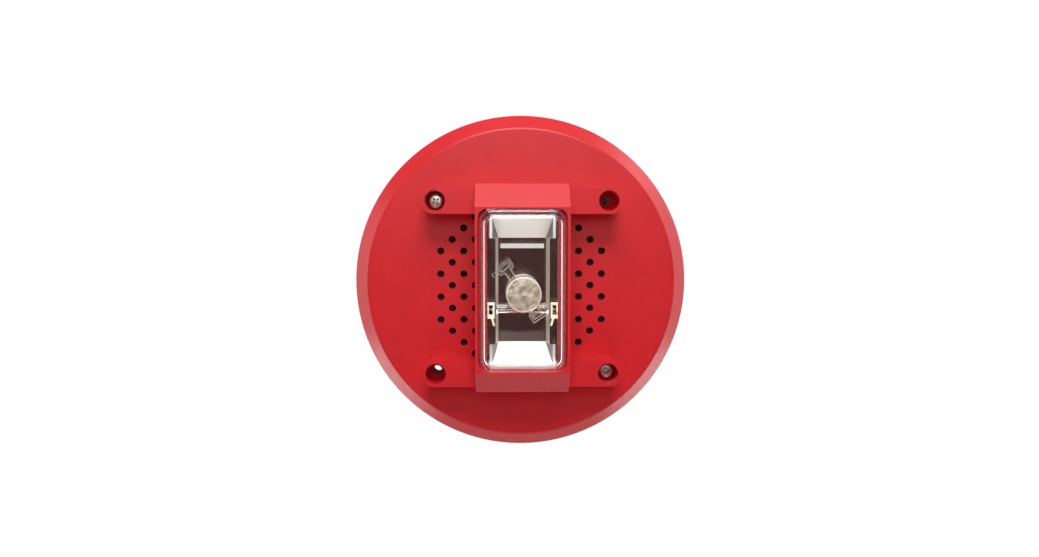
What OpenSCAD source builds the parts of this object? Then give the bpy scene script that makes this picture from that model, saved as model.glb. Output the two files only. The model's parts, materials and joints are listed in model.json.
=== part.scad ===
// Horn strobe for a fire alarm circuit, for a 4 inch square wall box.
// Front faces -Y, +Z is up, and the wall is the plane Y = 0. Sizes are in millimetres.
// Each sub-part is drawn in plan, with x to the right, y up and z out of the wall,
// and from_plan() turns it to stand on the wall.

/* [Cover] */
// Outer diameter of the round cover at the wall
cover_d = 172.7; // [165:0.1:180]
// Height of the cover's flat face above the wall
cover_h = 10.8; // [9.5:0.1:14]
// How much the bevelled edge comes in between the wall and the face
cover_bevel = 7.35; // [5:0.05:10]
// Wall thickness of the cover
cover_wall = 2.5; // [2:0.1:3]
// Height of the cover's centre above the centre of the box screws
cover_rise = 1.3; // [0:0.1:2]

/* [Grille] */
// Step between neighbouring rows and columns of sound holes
grille_step = 5.9; // [5.6:0.05:6.1]
// Diameter of one sound hole
grille_hole_d = 3.7; // [3:0.1:4]

/* [Strobe bezel] */
// Side of the square that the four ear holes make
hole_square = 86.2; // [85.8:0.1:88]
// Diameter of a box screw hole
box_hole_d = 4.9; // [4.4:0.1:5.2]
// Diameter of the screw well at the front of each ear
well_d = 10.2; // [9.8:0.1:10.4]
// Height above the wall of the top of the cone in each screw well
well_cone_z = 17.6; // [15:0.1:20]
// Width of an ear
ear_w = 13; // [12.5:0.1:14]
// Height above the wall of the front of the ears
ear_z = 28; // [24:0.5:31]
// Width of the strobe frame
frame_w = 45.7; // [45:0.1:47]
// Length of the strobe frame where it meets the cover
frame_len = 102.6; // [100:0.1:104]
// Length of the flat front of the frame, between its two slopes
frame_front_len = 79.6; // [79:0.1:81]
// Height above the wall of the bottom of the slopes
shoulder_z = 32.6; // [31:0.1:35]
// Height above the wall of the front of the frame
frame_z = 45; // [43:0.5:47]

/* [Lens and reflector] */
// How far the lens stands out of the frame
lens_rise = 7.6; // [6:0.1:9]
// Wall thickness of the lens
lens_wall = 1.6; // [1.2:0.1:2]
// Depth of the reflector's floor behind the front of the frame
reflector_depth = 15; // [13:0.5:16]
// Diameter of the round optic
optic_d = 17.2; // [15:0.1:18]
// Outer diameter of the flash tube
tube_d = 3.4; // [3:0.1:3.8]

/* [Rear chassis] */
// Width and height of the chassis that goes into the wall box
chassis_w = 84; // [82:0.5:85]
// Depth of the chassis behind the wall
chassis_depth = 28; // [27:0.5:32]

/* [Horn] */
// Outer diameter of the horn frame
horn_d = 58; // [56:0.5:60]
// Thickness of the diaphragm
diaphragm_t = 0.4; // [0.3:0.05:0.5]

/* [Switches] */
// Distance between two candela settings
candela_step = 2.5; // [2:0.1:2.6]
// Travel of one tone lever
tone_travel = 1.6; // [1.2:0.1:1.8]

/* [Hidden] */
$fn = 64;
eps = 0.01;

// Cover
cover_r = cover_d / 2;
under_face_z = cover_h - cover_wall;
bevel_angle = atan2(cover_bevel, cover_h);
edge_r = 1.6;

// Sound holes: staggered, inside an octagon, and beside the strobe opening
grille_reach = 7;
grille_corner = 10;
grille_first = 4;
opening_w = 41;
opening_len = 96;
screen_t = 0.6;
screen_w = 88.4;

// Ears and their holes
hole_xy = hole_square / 2;
ear_reach = hole_xy + 5.7;
ear_corner_r = 4.6;
boss_d = 10;
rib_back_z = 4;
well_floor_d = 9.2;
cone_h = 2.2;
screw_d = 4;
screw_head_d = 7.8;
screw_head_h = 2.9;
screw_end_z = 1.5;
screw_seat_z = well_cone_z - cone_h * (well_floor_d - screw_head_d) / (well_floor_d - box_hole_d) + 0.02;
screw_turns = [37, 12];
web_size = 5.3;
web_t = 0.9;

// Strobe frame
wall = 2.5;
rebate_z = frame_z - 2.6;
ledge_z = rebate_z - 2;
rebate = [frame_w - 2.5, frame_front_len - 1.4];
rebate_r = 5;
ledge_opening = [35.8, 75.8];

// Lens
gasket_t = 0.8;
flange_z = rebate_z + gasket_t;
lens_gap = 0.15;
lens_size = rebate - [2.2, 2.4];
lens_z = frame_z + lens_rise;

// Reflector
floor_z = frame_z - reflector_depth;
mirror_top_z = frame_z - 2.2;
panel_z = frame_z - 4;
reflector_drop = 0.7;
shell = 0.8;
floor_size = [23.5, 51.4];
waist_w = 26;
mouth_size = [30, 73.4];
panel_size = [34, 69.6];

// Flash tube, which crosses the trough behind the optic
tube_y = -9.9;
tube_z = floor_z + 5.2;
tube_len = 29;
cap_len = 2.6;
tube_hole_d = tube_d + 1.4;
wire_d = 0.4;
wire_y = tube_y - 0.9;
wire_end_x = 16.8;
slot_x = 15.2;
slot_size = [3.2, 6.4];

// Optic, whose two legs lie on the reflector's side panels
optic_pos = [0.6, -2.2];
optic_angle = 125;
optic_t = 1.6;
optic_crown = 2.2;
optic_head = [4.4, 7.8];
upper_reach = 16;
lower_reach = 11.9;

// Strobe board
strobe_board_z = 22;
board_t = 1.6;
strobe_board_size = [38, 92];
strobe_post_y = 43.6;

// Chassis and main board
chassis_wall = 2;
chassis_back_z = -chassis_depth;
chassis_in_z = chassis_back_z + chassis_wall;
chassis_front_z = 3.6;
tab_z = 0.6;
tab_x = 48.5;
tab_y = 16;
hook_reach = 48.8;
hook_w = 5.6;
main_back_z = chassis_in_z + 5.6;
main_front_z = main_back_z + board_t;
main_board_w = 78.6;
board_post_points = [[35.2, -8], [-35.2, -8], [16, 34.5]];

// Horn
horn_back_z = -8;
horn_front_z = 5;
horn_post_r = 33;
horn_post_angles = [90, 210, 330];
clamp_t = 1.6;
diaphragm_z = 0;
diaphragm_r = horn_d / 2 - 3;
armature_r = 6;
armature_t = 1.8;
yoke_r = 12;
yoke_back_z = -17;
pole_top_z = diaphragm_z - armature_t - 1;

// Terminal block, on the back of the main board
terminal_count = 4;
terminal_pitch = 9;
terminal_size = [terminal_count * terminal_pitch + 1, 13, 9.8];
terminal_y = -20;
entry_size = [5.6, 9];
entry_low_z = main_back_z - 7.6;
entry_high_z = main_back_z - 1.8;
clamp_size = [5.3, 5.8];

// Switches, on the back of the main board
candela_xy = [-14, 17];
candela_body = [17, 8, 5.1];
candela_travel = 3 * candela_step;
tone_xy = [15, 17];
tone_body = [11.6, 9.6, 4.6];
tone_count = 4;
tone_pitch = 2.54;

red = [0.74, 0.10, 0.13];
black = [0.07, 0.07, 0.08];
steel = [0.72, 0.72, 0.74];
dark_steel = [0.35, 0.35, 0.37];
green = [0.08, 0.30, 0.16];
copper = [0.72, 0.38, 0.18];
cream = [0.90, 0.86, 0.74];

// Points along an arc about a centre, from one angle to another
function arc(centre, r, from, to, steps) =
    [for (i = [0:steps]) centre + r * [cos(from + (to - from) * i / steps),
                                       sin(from + (to - from) * i / steps)]];

// The radius of the cover's bevel, moved in by a depth, at a height
function bevel_r(depth, z) = cover_r - (depth + z * sin(bevel_angle)) / cos(bevel_angle);

// Whether a place in the sound hole pattern has a hole
function has_hole(i, j) = (abs(i) + abs(j)) % 2 == 0 && abs(i) >= grille_first
    && abs(i) + abs(j) <= grille_corner;

module from_plan() rotate([90, 0, 0]) children();

// A rectangle with round corners, centred
module round_rect(size, r) {
    square([size.x - 2 * r, size.y], center = true);
    square([size.x, size.y - 2 * r], center = true);
    for (x = [-1, 1], y = [-1, 1])
        translate([x * (size.x / 2 - r), y * (size.y / 2 - r)]) circle(r = r);
}

// A block standing from one height to another
module block(size, from, to, r = 0)
    translate([0, 0, from]) linear_extrude(to - from)
        if (r > 0) round_rect(size, r); else square(size, center = true);

// A cylinder standing from one height to another
module post(d, from, to) translate([0, 0, from]) cylinder(d = d, h = to - from);

// A tube standing from one height to another
module tube(d, bore, from, to) difference() {
    post(d, from, to);
    post(bore, from - 1, to + 1);
}

// Places its children at all four ear holes
module at_ears() for (x = [-1, 1], y = [-1, 1]) translate([x * hole_xy, y * hole_xy, 0]) children();

// Places its children at the ears that hold the bezel's own screws
module at_bezel_screws() for (s = [-1, 1]) translate([-s * hole_xy, s * hole_xy, 0]) children();

// Places its children at the ears left free for the wall box's screws
module at_box_screws() for (s = [-1, 1]) translate([s * hole_xy, s * hole_xy, 0]) children();

// Places its children at the chassis tabs
module at_tabs() for (x = [-1, 1], y = [-1, 1]) translate([x * tab_x, y * tab_y, 0]) children();

// Places its children at the horn's three fixing posts
module at_horn_posts() for (a = horn_post_angles) rotate(a) translate([horn_post_r, 0, 0]) children();

// Places its children at the main board's three screws
module at_board_posts() for (p = board_post_points) translate([p.x, p.y, 0]) children();

// Places its children at the strobe board's two screws
module at_strobe_posts() for (y = [-1, 1]) translate([0, y * strobe_post_y, 0]) children();

// Places its children at each terminal
module at_terminals() for (i = [0:terminal_count - 1])
    translate([(i - (terminal_count - 1) / 2) * terminal_pitch, terminal_y, 0]) children();

// Extrudes a profile of [y, z] points across a width
module across(width) rotate([90, 0, 90]) translate([0, 0, -width / 2]) linear_extrude(width) children();

// A pan head screw with a cross recess, its head standing on a height
module pan_screw(d, head_d, head_h, seat, end) difference() {
    union() {
        post(d, end, seat + eps);
        translate([0, 0, seat]) cylinder(d1 = head_d, d2 = head_d * 0.93, h = head_h * 0.55);
        translate([0, 0, seat + head_h * 0.55]) cylinder(d1 = head_d * 0.93, d2 = head_d * 0.62, h = head_h * 0.45);
    }
    for (a = [0, 90]) rotate(a) translate([0, 0, seat + head_h])
        cube([head_d * 0.56, head_d * 0.13, head_h * 1.1], center = true);
}

// The round cover: a flat face with a bevelled edge, open behind
module cover() color(red) from_plan() difference() {
    union() {
        translate([0, cover_rise, 0]) rotate_extrude($fn = 180) polygon(concat(
            [[0, under_face_z], [bevel_r(cover_wall, under_face_z), under_face_z],
             [bevel_r(cover_wall, 0), 0], [cover_r, 0]],
            arc([bevel_r(edge_r, cover_h - edge_r), cover_h - edge_r], edge_r, bevel_angle, 90, 6),
            [[0, cover_h]]));
        at_ears() post(boss_d, 0, under_face_z + 1);
        at_tabs() post(7, chassis_front_z, under_face_z + 1);
        strobe_opening_rib();
        for (a = [45:90:315]) rotate(a) translate([boss_d / 2 + hole_xy * sqrt(2) - 1, -0.8, rib_back_z])
            cube([12, 1.6, under_face_z - rib_back_z + 1]);
    }
    block([opening_w, opening_len], -1, cover_h + 1, 3);
    for (i = [-grille_reach:grille_reach], j = [-grille_reach:grille_reach]) if (has_hole(i, j))
        translate([i * grille_step, j * grille_step, 0]) post(grille_hole_d, under_face_z - 1, cover_h + 1, $fn = 24);
    at_box_screws() post(box_hole_d, -1, cover_h + 1);
    at_bezel_screws() post(screw_d + 0.1, -1, cover_h + 1);
    at_tabs() post(2.9, 0, cover_h - 1.2);
}

// A rib round the cover's opening, which stiffens it from behind
module strobe_opening_rib() difference() {
    block([opening_w + 2.2, opening_len + 3], 5.6, under_face_z + 1, 3.6);
    block([opening_w - 1, opening_len - 1], 5, cover_h, 3);
}

// The dark scrim behind the sound holes
module grille_screen() color(black) from_plan() difference() {
    intersection() {
        block([screen_w, screen_w], under_face_z - screen_t, under_face_z);
        rotate(45) block([screen_w, screen_w] * 1.02, under_face_z - screen_t - 1, under_face_z + 1);
    }
    block([opening_w + 2.6, opening_len + 4], 0, cover_h, 3);
}

// The strobe bezel: a tall frame with two sloping ends, and four ears
module strobe_bezel() color(red) from_plan() difference() {
    union() {
        across(frame_w) polygon([
            [-frame_len / 2, cover_h], [-frame_len / 2, shoulder_z], [-frame_front_len / 2, frame_z],
            [frame_front_len / 2, frame_z], [frame_len / 2, shoulder_z], [frame_len / 2, cover_h]]);
        for (x = [-1, 1], y = [-1, 1]) translate([0, y * hole_xy, 0]) scale([x, 1, 1]) ear();
        bezel_web();
    }
    bezel_cavity();
    block(rebate, rebate_z, frame_z + 1, rebate_r);
    translate([0, -reflector_drop, 0]) block(ledge_opening, ledge_z - 1, frame_z, 2.5);
    at_ears() screw_well();
    at_box_screws() post(box_hole_d, cover_h - 1, ear_z);
    at_bezel_screws() post(screw_d + 0.3, cover_h - 1, ear_z);
    for (x = [-1, 1], y = [-1, 1]) translate([x * 30.9, y * hole_xy, 0])
        block([11.4, 9.4], cover_h - 1, ear_z - 2, 1);
}

// One ear, pointing to the right
module ear() translate([0, 0, cover_h]) linear_extrude(ear_z - cover_h) {
    straight = ear_reach - ear_corner_r;
    translate([frame_w / 2 - wall, -ear_w / 2]) square([straight - frame_w / 2 + wall, ear_w]);
    translate([frame_w / 2, -ear_w / 2 + ear_corner_r])
        square([ear_reach - frame_w / 2, ear_w - 2 * ear_corner_r]);
    for (y = [-1, 1]) translate([straight, y * (ear_w / 2 - ear_corner_r)]) circle(r = ear_corner_r);
}

// The tapered well over an ear's hole, with a cone at its floor
module screw_well() {
    translate([0, 0, well_cone_z]) cylinder(d1 = well_floor_d, d2 = well_d, h = ear_z - well_cone_z + eps);
    translate([0, 0, well_cone_z - cone_h]) cylinder(d1 = box_hole_d, d2 = well_floor_d, h = cone_h + eps);
}

// The thin web in the corner between the frame and the lower left ear, open over its sound hole
module bezel_web() difference() {
    translate([-frame_w / 2, -hole_xy + ear_w / 2, cover_h]) linear_extrude(web_t)
        polygon([[0.5, -0.5], [-web_size, -0.5], [-web_size, 0], [0, web_size], [0.5, web_size]]);
    translate([-grille_first * grille_step, -6 * grille_step, 0])
        post(grille_hole_d + 0.4, cover_h - 1, cover_h + 2);
}

// The space inside the strobe frame, with the strobe board's two posts left standing
module bezel_cavity() difference() {
    across(frame_w - 2 * wall) polygon([
        [-frame_len / 2 + wall, cover_h - 1], [-frame_len / 2 + wall, shoulder_z - 1],
        [-frame_front_len / 2 - 1.4, ledge_z], [frame_front_len / 2 + 1.4, ledge_z],
        [frame_len / 2 - wall, shoulder_z - 1], [frame_len / 2 - wall, cover_h - 1]]);
    at_strobe_posts() tube(6, 2.6, strobe_board_z + board_t, ledge_z + 1);
}

module bezel_screws() color(steel) from_plan() for (i = [0, 1])
    translate([(2 * i - 1) * hole_xy, (1 - 2 * i) * hole_xy, 0]) rotate(screw_turns[i])
        pan_screw(screw_d, screw_head_d, screw_head_h, screw_seat_z, screw_end_z);

// The clear lens: a flange in the frame's rebate and a shallow domed box
module lens() color([0.85, 0.9, 0.95, 0.35]) from_plan() difference() {
    union() {
        block(rebate - [1, 1] * 2 * lens_gap, flange_z, frame_z - 0.05, rebate_r - lens_gap);
        lens_dome(lens_size, 6, frame_z - 0.5, lens_z);
    }
    lens_dome(lens_size - [2, 2] * lens_wall, 6 - lens_wall, flange_z - 1, lens_z - lens_wall);
}

// The form of the lens, between two heights
module lens_dome(size, r, from, to) hull() {
    block(size, from, from + 0.1, r, $fn = 32);
    block(size - [1.2, 1.4], to - 3.2, to - 3.1, r + 0.6, $fn = 32);
    block(size - [3, 3.4], to - 1, to - 0.9, r, $fn = 32);
    block(size - [8, 9], to - 0.1, to, r - 1.5, $fn = 32);
}

module lens_gasket() color(black) from_plan() difference() {
    block(rebate - [1, 1] * 2 * lens_gap, rebate_z, flange_z, rebate_r - lens_gap);
    block(rebate - [3.8, 1.6], rebate_z - 1, flange_z + 1, rebate_r - 1);
}

// The reflector: a deep trough between two sloping end mirrors, with a flat panel each side
module reflector() color([0.88, 0.88, 0.9]) from_plan() translate([0, -reflector_drop, 0]) difference() {
    union() {
        end_mirrors(shell);
        trough(shell);
        block(panel_size + [1, 1] * 2 * shell - [0.6, 0], panel_z - shell, mirror_top_z, 1.5);
        for (x = [-1, 1], y = [-1, 1]) translate([x * 8, y * 20, 0]) post(3, strobe_board_z + board_t, floor_z);
    }
    trough(0);
    difference() {
        end_mirrors(0);
        block([mouth_size.x + 1, floor_size.y], 0, frame_z);
    }
    block(panel_size, panel_z, mirror_top_z + 1, 1);
    translate([0, reflector_drop, 0]) {
        tube_run() cylinder(d = tube_hole_d, h = 60, center = true, $fn = 32);
        for (x = [-1, 1]) translate([x * slot_x, tube_y, 0]) block(slot_size, tube_z - 2.4, panel_z + 1);
    }
}

// The space between the end mirrors, from the floor to the mouth, grown by a thickness
module end_mirrors(grow) hull() {
    block(floor_size + [1, 1] * 2 * grow, floor_z - grow, floor_z - grow + 0.1);
    block(mouth_size + [1, 1] * 2 * grow, mirror_top_z - 0.1, mirror_top_z + (grow > 0 ? 0 : 0.1));
}

// The steeper middle of the trough, below the side panels, grown by a thickness
module trough(grow) hull() {
    block(floor_size + [1, 1] * 2 * grow, floor_z - grow, floor_z - grow + 0.1);
    block([waist_w + 2 * grow, floor_size.y + 2 * grow],
        panel_z - grow - 0.1, panel_z - grow + (grow > 0 ? 0 : 0.1));
}

// Turns its children to lie across the reflector on the flash tube's axis
module tube_run() translate([0, tube_y, tube_z]) rotate([0, 90, 0]) children();

module flash_tube() color([0.9, 0.95, 1, 0.4]) from_plan() tube_run() difference() {
    cylinder(d = tube_d, h = tube_len, center = true);
    cylinder(d = tube_d - 1.4, h = tube_len - 3, center = true);
}

// The metal cap and lead pin on each end of the tube
module tube_caps() color(steel) from_plan() tube_run() for (s = [-1, 1]) scale([1, 1, s])
    translate([0, 0, tube_len / 2]) {
        cylinder(d = tube_d, h = cap_len);
        translate([0, 0, cap_len - eps]) cylinder(d = 0.8, h = 1.6, $fn = 16);
    }

// The two clips that hold the tube's ends, each a frame round its slot with one leg
module tube_clips() color(cream) from_plan() for (s = [-1, 1]) scale([s, 1, 1])
    translate([slot_x, tube_y, 0]) difference() {
        union() {
            block([3.4, 7.6], panel_z, panel_z + 1.1);
            translate([-0.9, -5.2, 0]) rotate(-16) block([0.9, 4.4], panel_z, panel_z + 1.1);
        }
        translate([0.1, 0.4, 0]) block([1.9, 4.6], panel_z - 1, panel_z + 2);
    }

// The fine bare wire wound round the tube, and its lead out through the right slot
module trigger_wire() color(copper) from_plan() {
    turns = 5;
    spine_z = tube_z + sqrt(pow(tube_d / 2 + 0.3, 2) - pow(wire_y - tube_y, 2));
    riser_x = slot_x - 0.3;
    lead_z = panel_z + 1.6;
    for (i = [0:turns - 1]) translate([(i - (turns - 1) / 2) * 4, 0, 0]) tube_run() difference() {
        cylinder(d = tube_d + 0.9, h = 0.35, center = true, $fn = 32);
        cylinder(d = tube_d + 0.1, h = 2, center = true, $fn = 32);
    }
    translate([-8.6, wire_y, spine_z]) rotate([0, 90, 0]) cylinder(d = wire_d, h = 8.6 + riser_x, $fn = 16);
    translate([riser_x, wire_y, spine_z]) cylinder(d = wire_d, h = lead_z - spine_z, $fn = 16);
    translate([riser_x, wire_y, lead_z]) rotate([0, 90, 0]) cylinder(d = wire_d, h = wire_end_x - riser_x, $fn = 16);
    for (z = [spine_z, lead_z]) translate([riser_x, wire_y, z]) sphere(d = wire_d * 1.05, $fn = 16);
}

// The clear round optic in front of the tube, held by two T shaped legs
module disc_optic() color([0.9, 0.92, 0.9, 0.5]) from_plan() translate([optic_pos.x, optic_pos.y, panel_z]) {
    rotate_extrude() polygon(concat([[0, -optic_t]],
        arc([optic_d / 2 - optic_t, 0], optic_t, -90, 0, 5),
        [for (i = [1:9]) [optic_d / 2 * cos(i * 10), optic_crown * sin(i * 10)]]));
    rotate(optic_angle) optic_leg(upper_reach, 3.4);
    rotate(optic_angle + 180) optic_leg(lower_reach, 1.9);
}

// One leg of the optic, with its head at a reach from the centre and a foot at the head's end
module optic_leg(reach, foot) {
    linear_extrude(optic_t) {
        translate([optic_d / 2 - 2, -1.6]) square([reach - optic_d / 2 + 2, 3.2]);
        translate([reach, 0]) square(optic_head, center = true);
        translate([reach - 0.8, optic_head.y / 2 - 0.1]) square([1.6, foot]);
    }
    translate([reach, 0, -optic_t]) linear_extrude(optic_t + eps)
        square([optic_head.x - 2.4, optic_head.y - 2.4], center = true);
}

module strobe_board() color(green) from_plan() difference() {
    block(strobe_board_size, strobe_board_z, strobe_board_z + board_t, 2);
    at_strobe_posts() post(3.2, strobe_board_z - 1, strobe_board_z + board_t + 1);
}

module strobe_board_screws() color(steel) from_plan() at_strobe_posts()
    translate([0, 0, 2 * strobe_board_z]) scale([1, 1, -1])
        pan_screw(2.5, 5, 1.9, strobe_board_z, strobe_board_z - 8);

// The flash capacitor, lying behind the strobe board
module flash_capacitor() color([0.10, 0.16, 0.38]) from_plan()
    translate([-7, 8, strobe_board_z - 6.6]) rotate([-90, 0, 0]) {
        cylinder(d = 12.4, h = 27.4);
        translate([0, 0, 27.4]) cylinder(d1 = 12.4, d2 = 11.4, h = 0.8);
        translate([0, 0, -1.4]) cylinder(d1 = 11.6, d2 = 12.4, h = 1.4 + eps);
    }

// The trigger coil: a wound bobbin potted in a small cup behind the strobe board
module trigger_coil() color([0.82, 0.72, 0.30]) from_plan() translate([9, -24, 0]) {
    block([12, 14], strobe_board_z - 9, strobe_board_z, 1);
    post(6, strobe_board_z - 10.4, strobe_board_z - 9 + eps);
}

// The horn frame: a short drum with three lugs, open in front
module horn_frame() color(black) from_plan() difference() {
    union() {
        post(horn_d, horn_back_z, horn_front_z - clamp_t);
        for (a = horn_post_angles) rotate(a) translate([horn_post_r, 0, 0]) {
            post(8, horn_back_z, horn_back_z + 2);
            translate([-4, 0, 0]) block([8, 8], horn_back_z, horn_back_z + 2);
        }
    }
    post(2 * diaphragm_r - 3, horn_back_z + 2, horn_front_z);
    post(2 * diaphragm_r + 1, diaphragm_z - 0.5, horn_front_z);
    post(2 * yoke_r + 0.1, horn_back_z - 1, horn_front_z);
    for (a = [0:60:300]) rotate(a + 30) translate([19, 0, 0]) post(5, horn_back_z - 1, horn_front_z);
    at_horn_posts() post(3.2, horn_back_z - 1, horn_back_z + 3);
}

// The ring that closes the horn frame in front of the diaphragm
module horn_clamp_ring() color(dark_steel) from_plan() difference() {
    post(horn_d, horn_front_z - clamp_t, horn_front_z);
    post(2 * diaphragm_r - 3, 0, horn_front_z + 1);
}

// The diaphragm, a thin disc with two pressed rings
module diaphragm() color(steel) from_plan() translate([0, 0, diaphragm_z]) difference() {
    union() {
        cylinder(r = diaphragm_r, h = diaphragm_t);
        for (r = [12, 20]) translate([0, 0, diaphragm_t - eps]) rotate_extrude()
            translate([r, 0]) polygon([[-1.2, 0], [-0.5, 0.5], [0.5, 0.5], [1.2, 0]]);
    }
    post(1.5, -1, 1);
}

module armature() color(dark_steel) from_plan() post(2 * armature_r, diaphragm_z - armature_t, diaphragm_z);

// The yoke: an iron cup with the fixed pole on its axis
module yoke() color(dark_steel) from_plan() difference() {
    post(2 * yoke_r, yoke_back_z, horn_back_z + 4);
    tube(2 * yoke_r - 3, 8, yoke_back_z + 2, horn_front_z);
    post(8.1, pole_top_z, horn_front_z);
    post(10.2, yoke_back_z + 2, yoke_back_z + 5);
}

module magnet() color([0.2, 0.2, 0.2]) from_plan() post(10, yoke_back_z + 2, yoke_back_z + 5);

// The bobbin that carries the coil
module bobbin() color(cream) from_plan() difference() {
    union() {
        post(12.6, yoke_back_z + 5.2, horn_back_z + 3.4);
        post(20, yoke_back_z + 5.2, yoke_back_z + 6);
        post(20, horn_back_z + 2.6, horn_back_z + 3.4);
    }
    post(8.4, yoke_back_z, horn_front_z);
}

module coil_winding() color(copper) from_plan()
    tube(19.4, 12.6, yoke_back_z + 6, horn_back_z + 2.6);

// The coil's two leads, down to the main board
module coil_leads() color(copper) from_plan() for (x = [-1, 1]) translate([x * 2, -18.6, 0]) {
    post(0.9, main_front_z, horn_back_z + 3, $fn = 16);
}

module horn_screws() color(steel) from_plan() at_horn_posts() pan_screw(3, 5.6, 2, horn_back_z + 2, -18);

// The main board, parallel to the wall
module main_board() color(green) from_plan() difference() {
    block([main_board_w, main_board_w], main_back_z, main_front_z, 7);
    at_horn_posts() post(7.4, main_back_z - 1, main_front_z + 1);
    at_board_posts() post(3.2, main_back_z - 1, main_front_z + 1);
}

module board_screws() color(steel) from_plan() at_board_posts()
    pan_screw(2.5, 5, 1.8, main_front_z, main_back_z - 4.6);

// The inverter's transformer: a wound core on the main board
module inverter_transformer() color([0.78, 0.70, 0.28]) from_plan() translate([-29.6, 29.6, 0]) {
    block([12, 12], main_front_z, main_front_z + 1.6, 1);
    block([8, 11], main_front_z + 1.6, main_front_z + 9, 1);
    block([12, 12], main_front_z + 9, main_front_z + 10.6, 1);
}

// Small can capacitors standing on the main board
module board_capacitors() color([0.12, 0.12, 0.16]) from_plan() {
    for (p = [[29.5, 29.5, 12, 15], [-31, -31, 8, 11], [31, -31, 8, 11], [-22, -30, 6.3, 7]])
        translate([p.x, p.y, 0]) post(p[2], main_front_z, main_front_z + p[3]);
}

// Chips and resistors soldered flat on the main board
module board_chips() color([0.13, 0.13, 0.14]) from_plan() {
    for (p = [[22, -28, 10, 6], [-34, 8, 5, 10], [34, 8, 4, 9], [2, 24, 8, 5],
            [-12, 32, 4, 4], [-14, -33, 3, 6]])
        translate([p.x, p.y, 0]) block([p[2], p[3]], main_front_z, main_front_z + 1.7);
}

// Three insulated leads between the two boards
module strobe_leads() color([0.65, 0.12, 0.10]) from_plan() for (i = [0:2])
    translate([4 + 2.4 * i, 36.5, 0]) post(1.4, main_front_z, strobe_board_z, $fn = 24);

// The terminal block, which stands out through the back of the chassis
module terminal_block() color([0.12, 0.32, 0.20]) from_plan() difference() {
    translate([0, terminal_y, 0])
        block([terminal_size.x, terminal_size.y], main_back_z - terminal_size.z, main_back_z);
    at_terminals() {
        post(6, main_back_z - terminal_size.z - 1, entry_low_z + eps);
        translate([0, (entry_size.y - terminal_size.y) / 2 - eps, 0])
            block(entry_size + [0, 2 * eps], entry_low_z, entry_high_z);
    }
}

// The clamp plate under each terminal screw
module terminal_clamps() color(steel) from_plan() at_terminals() difference() {
    translate([0, -0.6, 0]) block(clamp_size, entry_low_z + 0.1, entry_low_z + 0.9);
    post(3.3, entry_low_z - 1, entry_low_z + 2);
}

module terminal_screws() color(steel) from_plan() at_terminals() difference() {
    union() {
        post(5.4, entry_low_z - 1.5, entry_low_z);
        post(3, entry_low_z - eps, entry_low_z + 3.2);
    }
    translate([0, 0, entry_low_z - 1.5]) cube([6, 0.9, 1.6], center = true);
}

// The candela switch body, with a slot for its slider
module candela_switch() color([0.16, 0.16, 0.17]) from_plan() translate([candela_xy.x, candela_xy.y, 0])
    difference() {
        block([candela_body.x, candela_body.y], main_back_z - candela_body.z, main_back_z, 0.6);
        block([candela_travel + 4.6, 3.6], main_back_z - candela_body.z - 1, main_back_z - 1.2);
    }

// The candela slider, at the first of its four settings
module candela_slider() color(cream) from_plan()
    translate([candela_xy.x - candela_travel / 2, candela_xy.y, 0]) difference() {
        union() {
            block([3.8, 3.2], main_back_z - candela_body.z + 0.2, main_back_z - 1.5);
            block([2.6, 2.6], chassis_back_z - 0.6, main_back_z - candela_body.z + 0.3);
        }
        translate([0, 0, chassis_back_z - 0.6]) cube([0.6, 4, 0.8], center = true);
    }

// The tone and volume switch body, with a slot for each lever
module tone_switch() color([0.62, 0.10, 0.12]) from_plan() translate([tone_xy.x, tone_xy.y, 0]) difference() {
    block([tone_body.x, tone_body.y], main_back_z - tone_body.z, main_back_z, 0.4);
    for (i = [1:tone_count]) translate([tone_x(i), 0, 0])
        block([1.6, tone_travel + 2.2], main_back_z - tone_body.z - 1, main_back_z - 2.4);
}

// The place of a tone lever across its switch
function tone_x(i) = (i - (tone_count + 1) / 2) * tone_pitch;

// One tone lever, at its lower setting
module tone_lever(i) color([0.93, 0.93, 0.9]) from_plan()
    translate([tone_xy.x + tone_x(i), tone_xy.y - tone_travel / 2, 0]) {
        block([1.3, 1.7], main_back_z - tone_body.z - 0.7, main_back_z - 2.7);
    }

module tone_lever_1() tone_lever(1);
module tone_lever_2() tone_lever(2);
module tone_lever_3() tone_lever(3);
module tone_lever_4() tone_lever(4);

// The chassis: a square tray that goes into the wall box, with four tabs on the cover
module rear_chassis() color(black) from_plan() difference() {
    union() {
        difference() {
            union() {
                block([chassis_w, chassis_w], chassis_back_z, chassis_front_z, 10);
                for (y = [-1, 1]) translate([0, y * tab_y, 0])
                    block([2 * tab_x + 10, 11], tab_z, chassis_front_z, 4);
            }
            block([chassis_w - 2 * chassis_wall, chassis_w - 2 * chassis_wall],
                chassis_in_z, chassis_front_z + 1, 8);
        }
        at_board_posts() post(6, chassis_in_z - eps, main_back_z);
        at_horn_posts() post(6.6, chassis_in_z - eps, horn_back_z);
        wire_hook();
    }
    at_board_posts() post(2.6, chassis_in_z + 0.4, main_back_z + 1);
    at_horn_posts() post(3.1, -20, horn_back_z + 1);
    at_tabs() {
        post(3.2, 0, chassis_front_z + 1);
        translate([0, 0, tab_z - eps]) cylinder(d1 = 6.2, d2 = 3.2, h = 1.5);
    }
    translate([0, terminal_y - 4, 0])
        block([terminal_size.x + 1, terminal_size.y + 9], chassis_back_z - 1, chassis_in_z + 1, 1);
    translate([candela_xy.x, candela_xy.y, 0]) block([candela_travel + 4.4, 4.4], chassis_back_z - 1, chassis_in_z + 1);
    translate([tone_xy.x, tone_xy.y, 0]) block([tone_body.x - 1, tone_travel + 5], chassis_back_z - 1, chassis_in_z + 1, 0.6);
}

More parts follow.
